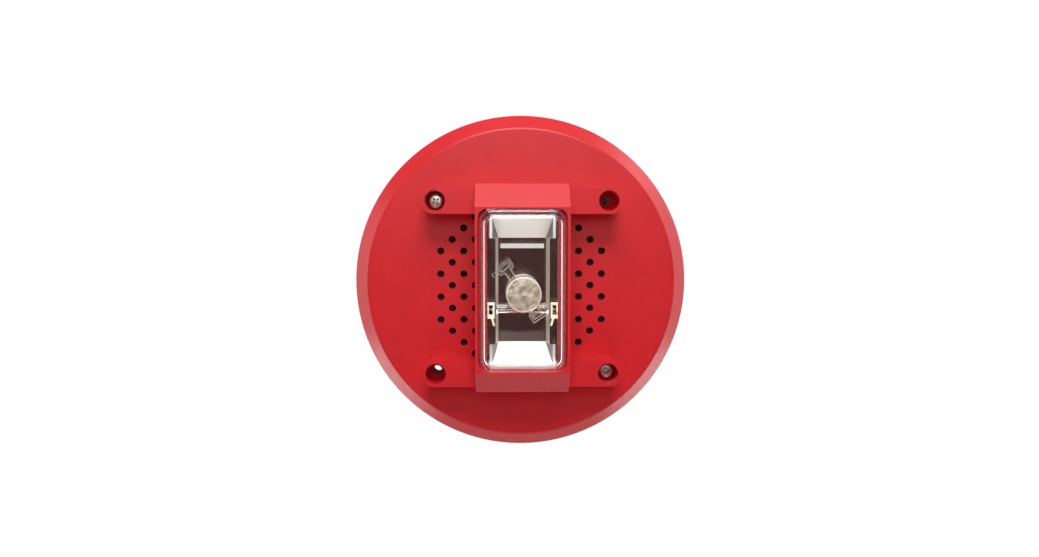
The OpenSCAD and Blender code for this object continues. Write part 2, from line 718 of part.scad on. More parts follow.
// The hook on the chassis's upper right side, which keeps the field wires off the box screw
module wire_hook() translate([0, 0, chassis_back_z + 0.8]) linear_extrude(3) {
    translate([chassis_w / 2 - 1, 22]) square([hook_reach - chassis_w / 2 + 1, 9]);
    translate([hook_reach - hook_w, 22]) square([hook_w, 24.6]);
}

module chassis_screws() color(steel) from_plan() at_tabs() difference() {
    union() {
        post(2.8, tab_z, under_face_z - 0.3);
        translate([0, 0, tab_z]) cylinder(d1 = 5.8, d2 = 2.8, h = 1.5);
    }
    for (a = [0, 90]) rotate(a) translate([0, 0, tab_z]) cube([3.2, 0.7, 1.4], center = true);
}

cover();
grille_screen();
strobe_bezel();
bezel_screws();
lens();
lens_gasket();
reflector();
disc_optic();
flash_tube();
tube_caps();
tube_clips();
trigger_wire();
strobe_board();
strobe_board_screws();
flash_capacitor();
trigger_coil();
horn_frame();
horn_clamp_ring();
diaphragm();
armature();
yoke();
magnet();
bobbin();
coil_winding();
coil_leads();
horn_screws();
main_board();
board_screws();
inverter_transformer();
board_capacitors();
board_chips();
strobe_leads();
terminal_block();
terminal_clamps();
terminal_screws();
candela_switch();
candela_slider();
tone_switch();
tone_lever_1();
tone_lever_2();
tone_lever_3();
tone_lever_4();
rear_chassis();
chassis_screws();
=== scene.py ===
"""Looks of the horn strobe: camera, studio, materials, and the pieces that are finer than their CAD solids.

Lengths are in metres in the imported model's frame: the front faces -Y, +Z is up, and the wall is the plane
Y = 0. MM turns millimetres into metres.
"""
import json
import math

import bmesh
import bpy
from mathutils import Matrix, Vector


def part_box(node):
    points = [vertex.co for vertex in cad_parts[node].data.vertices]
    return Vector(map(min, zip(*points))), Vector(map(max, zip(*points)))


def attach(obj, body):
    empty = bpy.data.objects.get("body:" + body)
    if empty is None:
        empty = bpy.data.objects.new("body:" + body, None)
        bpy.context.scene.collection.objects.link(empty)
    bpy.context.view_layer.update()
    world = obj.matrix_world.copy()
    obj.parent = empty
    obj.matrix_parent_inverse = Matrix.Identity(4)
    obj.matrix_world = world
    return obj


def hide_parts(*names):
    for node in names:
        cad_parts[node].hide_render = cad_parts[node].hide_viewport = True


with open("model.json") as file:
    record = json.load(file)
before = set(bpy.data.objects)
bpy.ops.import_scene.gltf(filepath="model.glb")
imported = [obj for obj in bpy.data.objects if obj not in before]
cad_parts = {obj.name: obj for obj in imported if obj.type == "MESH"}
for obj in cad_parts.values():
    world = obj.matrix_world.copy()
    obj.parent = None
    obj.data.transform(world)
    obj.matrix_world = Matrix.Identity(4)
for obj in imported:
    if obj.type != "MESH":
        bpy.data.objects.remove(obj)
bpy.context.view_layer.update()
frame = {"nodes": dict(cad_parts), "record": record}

MM = 0.001


# ---------------------------------------------------------------- camera and studio

CAMERA_AT = (-0.0100, -0.480, 0.0346)
CAMERA_AIM = (-0.0007, 0, 0.0028)
CAMERA_LENS_MM = 31.68

# Soft boxes: name, place, width and height, watts. All of them face the middle of the object.
SOFT_BOXES = (
    ("key", (0.02, -0.72, 0.74), (0.42, 0.30), 5.8),
    ("front", (0, -0.95, 0.30), (0.6, 0.3), 1.8),
    ("over_front", (0, -0.35, 0.70), (0.5, 0.12), 1.5),
    ("overhead", (0, -0.06, 0.62), (0.5, 0.16), 0.9),
    ("left", (-0.78, 0.05, 0.0), (0.7, 0.8), 2.6),
    ("right", (0.78, 0.05, 0.0), (0.7, 0.8), 2.6),
    ("low_left", (-0.62, 0.30, -0.52), (0.40, 0.40), 1.6),
    ("low_right", (0.62, 0.30, -0.52), (0.40, 0.40), 1.6),
    ("low_fill", (0, -0.50, -0.60), (0.5, 0.3), 0.8),
    ("rear", (0.45, 0.80, 0.45), (0.6, 0.4), 4.5),
)
LIGHT_AIM = (0, -0.02, 0)
FLOOR_Z = -0.95
FLOOR_HALF = 2.0

# What the room shows to reflections; the camera itself sees plain white behind the object
DIM_COLOUR = (0.050, 0.020, 0.018)
PALE_COLOUR = (0.24, 0.24, 0.24)
# Where a ray's direction goes from dim to pale, as (start, end) along an axis
PALE_FROM_FRONT = (-0.95, -0.05)
PALE_FROM_BELOW = (-0.85, -0.45)
DIM_STRAIGHT_BEHIND = (0.75, 0.95)
BEHIND_SHARE = 0.1


def aimed(obj, place, aim):
    """Puts an object at a place, with its -Z axis towards its aim and its top up."""
    obj.location = place
    obj.rotation_euler = (Vector(aim) - Vector(place)).to_track_quat("-Z", "Y").to_euler()
    bpy.context.scene.collection.objects.link(obj)
    return obj


def make_camera():
    data = bpy.data.cameras.new("camera")
    data.lens = CAMERA_LENS_MM
    data.sensor_width = 36
    bpy.context.scene.camera = aimed(bpy.data.objects.new("camera", data), CAMERA_AT, CAMERA_AIM)


def area_light(name, place, aim, size, watts):
    """A soft box: a lit rectangle of a width and height."""
    data = bpy.data.lights.new(name, "AREA")
    data.shape = "RECTANGLE"
    data.size, data.size_y = size
    data.energy = watts
    aimed(bpy.data.objects.new(name, data), place, aim)


def make_floor():
    """A plain pale floor, well below the object."""
    paint = Finish("floor_paint", (0.80, 0.80, 0.79), 0.6)
    paint.vary_colour(0.2, 0.03)
    corners = [(x * FLOOR_HALF, y * FLOOR_HALF, FLOOR_Z) for x, y in ((-1, -1), (1, -1), (1, 1), (-1, 1))]
    mesh = bpy.data.meshes.new("floor")
    mesh.from_pydata(corners, [], [(0, 1, 2, 3)])
    mesh.materials.append(paint.material)
    plane = bpy.data.objects.new("floor", mesh)
    bpy.context.scene.collection.objects.link(plane)


def make_studio():
    """A pale floor, soft boxes round the object, and the room."""
    make_floor()
    for name, place, size, watts in SOFT_BOXES:
        area_light(name, place, LIGHT_AIM, size, watts)
    make_world()


def eased(tree, value, span, low=0.0, high=1.0):
    """A value that goes smoothly from low to high over a span of another."""
    node = tree.nodes.new("ShaderNodeMapRange")
    node.interpolation_type = "SMOOTHSTEP"
    tree.links.new(value, node.inputs["Value"])
    for name, number in (("From Min", span[0]), ("From Max", span[1]), ("To Min", low), ("To Max", high)):
        node.inputs[name].default_value = number
    return node.outputs[0]


def product(tree, first, second):
    node = tree.nodes.new("ShaderNodeMath")
    node.operation = "MULTIPLY"
    tree.links.new(first, node.inputs[0])
    tree.links.new(second, node.inputs[1])
    return node.outputs[0]


def make_world():
    """The room: pale at the sides, dim in front, below and straight behind, and plain white to the camera."""
    world = bpy.data.worlds.new("studio")
    world.use_nodes = True
    tree = world.node_tree
    tree.nodes.clear()
    way = tree.nodes.new("ShaderNodeSeparateXYZ")
    tree.links.new(tree.nodes.new("ShaderNodeTexCoord").outputs["Generated"], way.inputs[0])
    beside = eased(tree, way.outputs["Y"], PALE_FROM_FRONT)
    not_behind = eased(tree, way.outputs["Y"], DIM_STRAIGHT_BEHIND, 1.0, BEHIND_SHARE)
    not_below = eased(tree, way.outputs["Z"], PALE_FROM_BELOW)
    pale_share = product(tree, product(tree, beside, not_behind), not_below)
    shade = tree.nodes.new("ShaderNodeMix")
    shade.data_type = "RGBA"
    tree.links.new(pale_share, shade.inputs["Factor"])
    shade.inputs[6].default_value = (*DIM_COLOUR, 1)
    shade.inputs[7].default_value = (*PALE_COLOUR, 1)
    lit = tree.nodes.new("ShaderNodeBackground")
    tree.links.new(shade.outputs[2], lit.inputs["Color"])
    seen = tree.nodes.new("ShaderNodeBackground")
    seen.inputs["Color"].default_value = (1, 1, 1, 1)
    mix = tree.nodes.new("ShaderNodeMixShader")
    tree.links.new(tree.nodes.new("ShaderNodeLightPath").outputs["Is Camera Ray"], mix.inputs[0])
    tree.links.new(lit.outputs[0], mix.inputs[1])
    tree.links.new(seen.outputs[0], mix.inputs[2])
    tree.links.new(mix.outputs[0], tree.nodes.new("ShaderNodeOutputWorld").inputs["Surface"])
    bpy.context.scene.world = world
    bpy.context.scene.view_settings.view_transform = "Standard"


# ---------------------------------------------------------------- materials

# The wave texture draws about this many bands in a length of 1 at a scale of 1
WAVE_BANDS = 3.14


class Finish:
    """One material: a Principled shader, and short ways to give it detail at its real size."""

    def __init__(self, name, colour, rough, metal=0.0):
        self.material = bpy.data.materials.new(name)
        self.material.use_nodes = True
        self.tree = self.material.node_tree
        self.shader = self.tree.nodes["Principled BSDF"]
        self.output = self.tree.nodes["Material Output"]
        self.colour = colour
        self.rough = rough
        self.last_bump = None
        self.set("Base Color", (*colour, 1))
        self.set("Roughness", rough)
        self.set("Metallic", metal)
        self.at = self.tree.nodes.new("ShaderNodeTexCoord").outputs["Object"]

    def add(self, kind, **inputs):
        """A node with its inputs set to values or linked to sockets, by name."""
        node = self.tree.nodes.new(kind)
        for name, value in inputs.items():
            self.feed(node.inputs[name.replace("_", " ")], value)
        return node

    def feed(self, socket, value):
        """Links a socket to another one, or sets it to a plain value."""
        if isinstance(value, bpy.types.NodeSocket):
            self.tree.links.new(value, socket)
        else:
            socket.default_value = value

    def set(self, name, value):
        self.shader.inputs[name].default_value = value
        return self

    def link(self, socket, name):
        self.tree.links.new(socket, self.shader.inputs[name])

    def stretched(self, scale):
        """The object's own coordinates, scaled by axis."""
        return self.add("ShaderNodeMapping", Vector=self.at, Scale=scale).outputs[0]

    def noise(self, size, detail=3.0, scale=(1, 1, 1)):
        """Noise whose marks are about a size across."""
        return self.add("ShaderNodeTexNoise", Vector=self.stretched(scale), Scale=1 / size,
                        Detail=detail).outputs["Fac"]

    def spread(self, value, low, high, start=0.25, end=0.75):
        """A value from start to end, as one from low to high."""
        return self.add("ShaderNodeMapRange", Value=value, From_Min=start, From_Max=end,
                        To_Min=low, To_Max=high).outputs[0]

    def past(self, value, edge, soft):
        """1 where a value is past an edge and 0 before it, with a soft step between."""
        return self.spread(value, 0, 1, edge, edge + soft)

    def before(self, value, edge, soft):
        """1 where a value is before an edge and 0 past it, with a soft step between."""
        return self.spread(value, 1, 0, edge, edge + soft)

    def mixed(self, factor, first, second):
        """One colour to another, by a factor."""
        node = self.tree.nodes.new("ShaderNodeMix")
        node.data_type = "RGBA"
        self.tree.links.new(factor, node.inputs["Factor"])
        for slot, value in ((6, first), (7, second)):
            plain = not isinstance(value, bpy.types.NodeSocket)
            self.feed(node.inputs[slot], (*value, 1) if plain else value)
        return node.outputs[2]

    def base(self):
        """The socket that feeds the base colour, or the plain colour."""
        links = self.shader.inputs["Base Color"].links
        return links[0].from_socket if links else self.colour

    def vary_colour(self, size, amount):
        """Lighter and darker patches of a size."""
        dark = [c * (1 - amount) for c in self.colour]
        light = [c * (1 + amount) for c in self.colour]
        self.link(self.mixed(self.spread(self.noise(size), 0, 1), dark, light), "Base Color")
        return self

    def vary_rough(self, size, amount, scale=(1, 1, 1)):
        """Duller and shinier patches of a size."""
        marks = self.noise(size, scale=scale)
        self.link(self.spread(marks, self.rough - amount, self.rough + amount), "Roughness")
        return self

    def bump(self, height, depth):
        """Relief of a depth, on top of any that is there already."""
        node = self.add("ShaderNodeBump", Height=height, Distance=depth)
        if self.last_bump:
            self.tree.links.new(self.last_bump, node.inputs["Normal"])
        self.last_bump = node.outputs[0]
        self.link(self.last_bump, "Normal")
        return self

    def grain(self, size, depth, detail=2.0, scale=(1, 1, 1)):
        """Relief of a depth whose marks are about a size across."""
        return self.bump(self.noise(size, detail, scale), depth)

    def maths(self, operation, first, second=0.0):
        """A sum, product or the like of two values, or a function of the first alone."""
        node = self.tree.nodes.new("ShaderNodeMath")
        node.operation = operation
        for socket, value in zip(node.inputs, (first, second)):
            self.feed(socket, value)
        return node.outputs[0]

    def edges(self, radius):
        """1 on edges of about a radius, 0 away from them, broken up a little."""
        round_normal = self.add("ShaderNodeBevel", Radius=radius).outputs[0]
        true_normal = self.add("ShaderNodeNewGeometry").outputs["Normal"]
        turn = self.add("ShaderNodeVectorMath")
        turn.operation = "DOT_PRODUCT"
        self.tree.links.new(round_normal, turn.inputs[0])
        self.tree.links.new(true_normal, turn.inputs[1])
        broken = self.spread(self.noise(1.2 * MM), 0.90, 1.0)
        return self.add("ShaderNodeMapRange", Value=turn.outputs["Value"], From_Min=broken,
                        From_Max=0.86, To_Min=0.0, To_Max=1.0).outputs[0]

    def wear_and_edge_highlight(self, radius, colour, amount):
        """Edges in another colour: rubbed wear, and a painted edge highlight."""
        worn_and_highlit = self.maths("MULTIPLY", self.edges(radius), amount)
        self.link(self.mixed(worn_and_highlit, self.base(), colour), "Base Color")
        return self

    def stripes(self, size, scale=(1, 0, 0), distortion=0.0):
        """Bands of a width across an axis."""
        return self.add("ShaderNodeTexWave", Vector=self.stretched(scale), Scale=1 / (WAVE_BANDS * size),
                        Distortion=distortion).outputs["Fac"]

    def let_light_through(self):
        """Clear plastic doesn't stop the studio's light from reaching what is behind it."""
        ray = self.tree.nodes.new("ShaderNodeLightPath")
        clear = self.tree.nodes.new("ShaderNodeBsdfTransparent")
        mix = self.tree.nodes.new("ShaderNodeMixShader")
        self.tree.links.new(ray.outputs["Is Shadow Ray"], mix.inputs[0])
        self.tree.links.new(self.shader.outputs[0], mix.inputs[1])
        self.tree.links.new(clear.outputs[0], mix.inputs[2])
        self.tree.links.new(mix.outputs[0], self.output.inputs["Surface"])
        return self


def moulded(name, colour, rough, texture=0.35 * MM, depth=0.012 * MM):
    """Moulded plastic with an eroded texture, and lighter edges: partly rubbed wear, partly a painted edge
    highlight.
    """
    finish = Finish(name, colour, rough)
    finish.vary_colour(14 * MM, 0.05).vary_rough(2.5 * MM, 0.05)
    # Lighter edges: partly wear, partly a painted edge highlight
    finish.wear_and_edge_highlight(0.35 * MM, [min(1, c * 1.25 + 0.02) for c in colour], 0.5)
    return finish.grain(texture, depth).grain(4 * texture, 1.5 * depth)


def polished(name, colour, rough, bend):
    """Clear plastic or glass, with faint haze and rubbed patches."""
    finish = Finish(name, colour, rough)
    finish.set("Transmission Weight", 1.0).set("IOR", bend)
    finish.vary_rough(9 * MM, rough * 0.7).grain(6 * MM, 0.010 * MM)
    return finish.let_light_through()


def plated(name, colour, rough, brushed=(1, 1, 1)):
    """Plated or bare metal, with dull spots and fine grain, drawn out where it is brushed."""
    finish = Finish(name, colour, rough, 1.0)
    finish.vary_colour(1.1 * MM, 0.10).vary_rough(0.7 * MM, 0.08)
    return finish.grain(0.25 * MM, 0.006 * MM, 3.0, brushed)


TROUGH_HALF_HEIGHT = 25.4 * MM      # from the reflector's middle to its end mirrors
END_HALF_WIDTH = 15.8 * MM          # of the end mirrors
PAINTED_REFLECTION_HEIGHTS = (20.3 * MM, 22.6 * MM)  # heights of the painted reflection, a pale strip across the trough's top, above the middle
PAINTED_REFLECTION_HALF_WIDTH = 10.6 * MM
PAINTED_REFLECTION_SOFT = 0.3 * MM
SIDE_LEAN = 0.30                    # how far a face has to lean sideways to be a side wall


def mirror_finish():
    """Vacuum metallised plastic: clean in the trough, satin end mirrors, a painted reflection as a pale strip
    across the trough's top end, and painted reflections on the side walls, pale warm in the trough and dark
    brown past its ends.
    """
    finish = Finish("mirror", (0.92, 0.90, 0.87), 0.07, 1.0)
    low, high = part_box("reflector")
    middle, step = (low.z + high.z) / 2, 0.4 * MM
    place = finish.add("ShaderNodeSeparateXYZ", Vector=finish.at).outputs
    up, across = place["Z"], finish.maths("ABSOLUTE", place["X"])
    normal = finish.add("ShaderNodeNewGeometry").outputs["Normal"]
    lean = finish.maths("ABSOLUTE", finish.add("ShaderNodeSeparateXYZ", Vector=normal).outputs["X"])
    side = finish.past(lean, SIDE_LEAN, 0.06)
    above = finish.past(up, middle + TROUGH_HALF_HEIGHT, step)
    below = finish.before(up, middle - TROUGH_HALF_HEIGHT - step, step)
    outside = finish.maths("MAXIMUM", above, below)
    # Painted reflection: a pale strip across the trough's top end, painted near white and made rougher with
    # the end mirrors
    painted_reflection_strip = finish.maths("MULTIPLY", finish.past(up, middle + PAINTED_REFLECTION_HEIGHTS[0], PAINTED_REFLECTION_SOFT),
                        finish.before(up, middle + PAINTED_REFLECTION_HEIGHTS[1], PAINTED_REFLECTION_SOFT))
    painted_reflection_strip = finish.maths("MULTIPLY", painted_reflection_strip, finish.before(across, PAINTED_REFLECTION_HALF_WIDTH, PAINTED_REFLECTION_SOFT))
    ends = finish.maths("MULTIPLY", outside, finish.before(across, END_HALF_WIDTH, 0.2 * MM))
    satin = finish.maths("MULTIPLY", finish.maths("MAXIMUM", ends, painted_reflection_strip), finish.spread(side, 1, 0, 0, 1))
    # Painted reflections on the side walls: pale warm inside the trough, dark brown past its ends
    side_wall_reflection_paint = finish.mixed(outside, (0.78, 0.70, 0.58), (0.22, 0.17, 0.15))
    colour = finish.mixed(side, (0.92, 0.88, 0.86), side_wall_reflection_paint)
    # Near white on the satin end mirrors and on the painted reflection strip
    finish.link(finish.mixed(satin, colour, (0.97, 0.96, 0.94)), "Base Color")
    rough = finish.maths("ADD", finish.maths("MULTIPLY", satin, 0.36), finish.maths("MULTIPLY", side, 0.30))
    finish.link(finish.maths("ADD", rough, finish.spread(finish.noise(3 * MM), 0.04, 0.10)), "Roughness")
    finish.link(finish.spread(side, 1, 0.55, 0, 1), "Metallic")
    return finish.grain(6 * MM, 0.03 * MM).grain(0.6 * MM, 0.003 * MM)


OPTIC_MIDDLE = (("X", 0.6 * MM), ("Z", -2.2 * MM))
OPTIC_RADIUS = 8.6 * MM
# Where the painted highlight round the disc's rim starts
OPTIC_PAINTED_RIM_FROM = 7.7 * MM
OPTIC_CELL = 3.4 * MM
OPTIC_COLOUR = (0.95, 0.95, 0.92)


def optic_finish():
    """Clear plastic with a hammered, milky disc; painted highlights on its rim, at its facets and along the
    edges of its legs, which stay clear between them.
    """
    finish = Finish("clear_optic", OPTIC_COLOUR, 0.06)
    place = finish.add("ShaderNodeSeparateXYZ", Vector=finish.at).outputs
    from_middle = [finish.maths("SUBTRACT", place[axis], value) for axis, value in OPTIC_MIDDLE]
    squares = [finish.maths("MULTIPLY", value, value) for value in from_middle]
    radius = finish.maths("SQRT", finish.maths("ADD", *squares))
    disc = finish.before(radius, OPTIC_RADIUS, 0.1 * MM)
    cells = finish.add("ShaderNodeTexVoronoi", Vector=finish.at, Scale=1 / OPTIC_CELL).outputs["Distance"]
    patches = finish.spread(finish.noise(3 * MM), 0, 1)
    milky = finish.mixed(patches, (0.22, 0.17, 0.12), (0.62, 0.54, 0.43))
    # Painted highlights: a light, less clear line along edges, a light ring at the disc's rim, and light
    # spots in the facets
    painted_edge_highlight = finish.past(finish.edges(0.45 * MM), 0.04, 0.31)
    painted_rim_highlight = finish.maths("MULTIPLY", finish.past(radius, OPTIC_PAINTED_RIM_FROM, 0.4 * MM), disc)
    painted_facet_glints = finish.spread(cells, 0.8, 0, 0.05, 0.22)
    light = finish.maths("MAXIMUM", painted_edge_highlight, finish.maths("MAXIMUM", painted_rim_highlight, painted_facet_glints))
    # The painted highlights lighten the milky colour
    milky = finish.mixed(light, milky, (0.85, 0.79, 0.70))
    finish.link(finish.mixed(finish.maths("MAXIMUM", disc, light), OPTIC_COLOUR, milky), "Base Color")
    solid = finish.maths("MAXIMUM", finish.maths("MULTIPLY", disc, 0.62), painted_edge_highlight)
    finish.link(finish.spread(solid, 1, 0, 0, 1), "Transmission Weight")
    finish.link(finish.spread(disc, 0.05, 0.14, 0, 1), "Roughness")
    finish.set("IOR", 1.49).set("Specular IOR Level", 0.9)
    finish.bump(finish.maths("MULTIPLY", cells, disc), 0.9 * MM)
    return finish.grain(1.4 * MM, 0.05 * MM).let_light_through()


def screen_finish():
    """Fine black screen: threads over and under, 0.5 mm apart."""
    finish = Finish("scrim", (0.012, 0.012, 0.013), 0.8)
    finish.vary_colour(2 * MM, 0.3)
    for scale in ((1, 0, 0), (0, 0, 1)):
        finish.bump(finish.stripes(0.5 * MM, scale), 0.1 * MM)
    return finish


def board_finish():
    """Solder mask over copper tracks, with bare pads."""
    mask, track_pitch = (0.012, 0.10, 0.035), 3.2 * MM
    finish = Finish("board", mask, 0.3)
    plan = finish.stretched((1, 0, 1))
    tracks = finish.add("ShaderNodeTexVoronoi", Vector=plan, Scale=1 / track_pitch)
    tracks.feature = "DISTANCE_TO_EDGE"
    copper = finish.before(tracks.outputs["Distance"], 0.05, 0.03)
    finish.link(finish.mixed(copper, mask, (0.03, 0.22, 0.07)), "Base Color")
    pads = finish.add("ShaderNodeTexVoronoi", Vector=plan, Scale=1 / track_pitch)
    on_pad = finish.before(pads.outputs["Distance"], 0.13, 0.02)
    finish.link(finish.mixed(on_pad, finish.base(), (0.55, 0.52, 0.46)), "Base Color")
    finish.link(on_pad, "Metallic")
    finish.bump(copper, 0.03 * MM)
    return finish.set("Coat Weight", 0.3)


def sleeve(name, colour):
    """Shrunk sleeve or insulation: glossy, with faint ripples round it."""
    finish = Finish(name, colour, 0.28)
    finish.vary_colour(5 * MM, 0.08).vary_rough(2 * MM, 0.06)
    return finish.grain(1.5 * MM, 0.02 * MM, 1.0, (1, 1, 3))


def wound_finish():
    """Fine enamelled wire, wound in turns along Y."""
    finish = Finish("copper", (0.50, 0.20, 0.08), 0.3, 1.0)
    finish.vary_colour(0.8 * MM, 0.15).vary_rough(0.5 * MM, 0.08)
    return finish.bump(finish.stripes(0.3 * MM, (0, 1, 0), 0.3), 0.06 * MM)


def potted_finish():
    """Varnished tape and resin, amber, with a few bubbles."""
    finish = Finish("potting", (0.50, 0.33, 0.05), 0.35)
    finish.vary_colour(3 * MM, 0.2).vary_rough(1.5 * MM, 0.1)
    return finish.grain(1.2 * MM, 0.05 * MM).set("Coat Weight", 0.4)


FINISHES = {
    "red_plastic": lambda: moulded("red_plastic", (0.62, 0.010, 0.017), 0.40),
    "black_plastic": lambda: moulded("black_plastic", (0.018, 0.018, 0.020), 0.45),
    "scrim": screen_finish,
    "clear_lens": lambda: polished("clear_lens", (0.99, 0.99, 0.985), 0.015, 1.49),
    "clear_optic": optic_finish,
    "tube_glass": lambda: polished("tube_glass", (0.97, 0.98, 0.99), 0.01, 1.12),
    "mirror": mirror_finish,
    "seal": lambda: moulded("seal", (0.40, 0.012, 0.016), 0.5, 0.2 * MM, 0.02 * MM),
    "zinc_steel": lambda: plated("zinc_steel", (0.80, 0.77, 0.70), 0.36),
    "spring_steel": lambda: plated("spring_steel", (0.60, 0.60, 0.61), 0.30, (1, 1, 8)),
    "iron": lambda: plated("iron", (0.40, 0.40, 0.41), 0.38, (8, 1, 8)),
    "ferrite": lambda: moulded("ferrite", (0.05, 0.05, 0.055), 0.55, 0.15 * MM, 0.02 * MM),
    "cream_plastic": lambda: moulded("cream_plastic", (0.80, 0.72, 0.55), 0.42, 0.2 * MM, 0.006 * MM),
    "white_plastic": lambda: moulded("white_plastic", (0.82, 0.82, 0.78), 0.38, 0.2 * MM, 0.006 * MM),
    "copper": wound_finish,
    "board": board_finish,
    "blue_sleeve": lambda: sleeve("blue_sleeve", (0.02, 0.045, 0.20)),
    "black_sleeve": lambda: sleeve("black_sleeve", (0.015, 0.015, 0.022)),
    "potting": potted_finish,
    "chip_epoxy": lambda: moulded("chip_epoxy", (0.02, 0.02, 0.02), 0.5, 0.12 * MM, 0.01 * MM),
    "wire_red": lambda: sleeve("wire_red", (0.45, 0.015, 0.015)),
    "terminal_green": lambda: moulded("terminal_green", (0.012, 0.14, 0.05), 0.42, 0.2 * MM, 0.008 * MM),
    "switch_red": lambda: moulded("switch_red", (0.35, 0.012, 0.015), 0.40, 0.2 * MM, 0.008 * MM),
}


def finish_nodes():
    """Gives every CAD node the finish of its slot in the record, and returns the materials by slot."""
    made = {slot: make().material for slot, make in FINISHES.items()}
    for part in frame["record"]["subparts"]:
        node = frame["nodes"][part["node"]]
        for slot in node.material_slots:
            slot.material = made[part["material_slot"]]
    return made


# ---------------------------------------------------------------- edges of CAD nodes

# Millimetres; the other nodes keep the edges of their solids
EDGE_RADII = {
    "strobe_bezel": 0.45, "cover": 0.25, "rear_chassis": 0.4, "tube_clips": 0.15,
    "terminal_block": 0.2, "horn_frame": 0.3, "candela_switch": 0.2, "tone_switch": 0.15,
    "candela_slider": 0.12, "reflector": 0.12,
}


def soften(node, radius):
    """Rounds a CAD node's sharp edges with modifiers, which leave its mesh as it is."""
    weld = node.modifiers.new("weld", "WELD")
    weld.merge_threshold = 0.001 * MM
    rounding = node.modifiers.new("rounding", "BEVEL")
    rounding.width = radius
    rounding.segments = 3
    rounding.limit_method = "ANGLE"
    rounding.angle_limit = math.radians(40)
    rounding.harden_normals = False
    normals = node.modifiers.new("normals", "WEIGHTED_NORMAL")
    normals.weight = 100
    normals.keep_sharp = False


# ---------------------------------------------------------------- pieces finer than the CAD

def new_piece(name, mesh_data, material, slot, body, *nodes):
    """A finished piece that rides on a body and stands for CAD nodes."""
    mesh = bpy.data.meshes.new(name)
    mesh_data.normal_update()
    mesh_data.to_mesh(mesh)
    mesh_data.free()
    mesh.materials.append(material)
    piece = bpy.data.objects.new(name, mesh)
    bpy.context.scene.collection.objects.link(piece)
    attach(piece, body)
    if nodes:
        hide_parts(*nodes)
    return piece


def smooth(piece, angle=35):
    """Smooth shading, with edges over an angle kept sharp."""
    mesh = piece.data
    mesh.shade_smooth()
    mesh.set_sharp_from_angle(angle=math.radians(angle))


def round_rect(width, height, radius, y, centre, steps=10):
    """Points round a rectangle with round corners, in the plane of a Y."""
    points = []
    for turn, (sx, sz) in enumerate(((1, 1), (-1, 1), (-1, -1), (1, -1))):
        for i in range(steps + 1):
            a = math.radians(90 * (turn + i / steps))
            points.append((centre[0] + sx * (width / 2 - radius) + radius * math.cos(a), y,
                           centre[1] + sz * (height / 2 - radius) + radius * math.sin(a)))
    return points


def loft(bm, rings, close=False):
    """Faces between neighbouring rings of points; with close, the last ring is filled."""
    made = [[bm.verts.new(p) for p in ring] for ring in rings]
    for a, b in zip(made, made[1:]):
        for i in range(len(a)):
            j = (i + 1) % len(a)
            bm.faces.new((a[i], a[j], b[j], b[i]))
    if close:
        bm.faces.new(made[-1])
    return made


LENS_WALL = 1.6 * MM
LENS_CORNER_R = 6 * MM
LENS_SHOULDER_R = (3.0 * MM, 1.7 * MM)     # outside and inside
LENS_DRAFT = 0.5 * MM
LENS_CROWN = 0.35 * MM                     # how much its middle stands out past its shoulders
LENS_FLANGE = 1.75 * MM
LENS_FLANGE_CORNER_R = 4.85 * MM
LENS_LEAST_R = 1.5 * MM                    # of the corners over the shoulder
LENS_DOME_INSET = (1.9 * MM, 2.1 * MM)     # by how much its dome is smaller than its flange
SHOULDER_STEPS, CROWN_STEPS = 8, 6


def lens_rings(size, centre, top_y, wall, shoulder, corner, foot):
    """Rings of one side of the lens dome, from its foot to its middle, inside by a wall."""
    rings = []
    width, height = size[0] - 2 * wall, size[1] - 2 * wall
    side_y = top_y + LENS_CROWN + shoulder
    for t in (0.0, 0.5, 1.0):
        inset = LENS_DRAFT * t
        rings.append(round_rect(width - 2 * inset, height - 2 * inset, corner,
                                foot + (side_y - foot) * t, centre))
    for i in range(1, SHOULDER_STEPS + 1):
        a = math.radians(90 * i / SHOULDER_STEPS)
        inset = LENS_DRAFT + shoulder * (1 - math.cos(a))
        radius = max(corner - 0.6 * (inset - LENS_DRAFT), LENS_LEAST_R)
        rings.append(round_rect(width - 2 * inset, height - 2 * inset, radius,
                                side_y - shoulder * math.sin(a), centre))
    first = LENS_DRAFT + shoulder
    last = width / 2 - 0.5 * MM
    for i in range(1, CROWN_STEPS + 1):
        t = i / CROWN_STEPS
        inset = first + (last - first) * t
        radius = min(max(corner - 0.6 * shoulder, LENS_LEAST_R), width / 2 - inset)
        rings.append(round_rect(width - 2 * inset, height - 2 * inset, radius * (1 - 0.02 * t),
                                top_y + LENS_CROWN * (1 - t) ** 2, centre))
    return rings


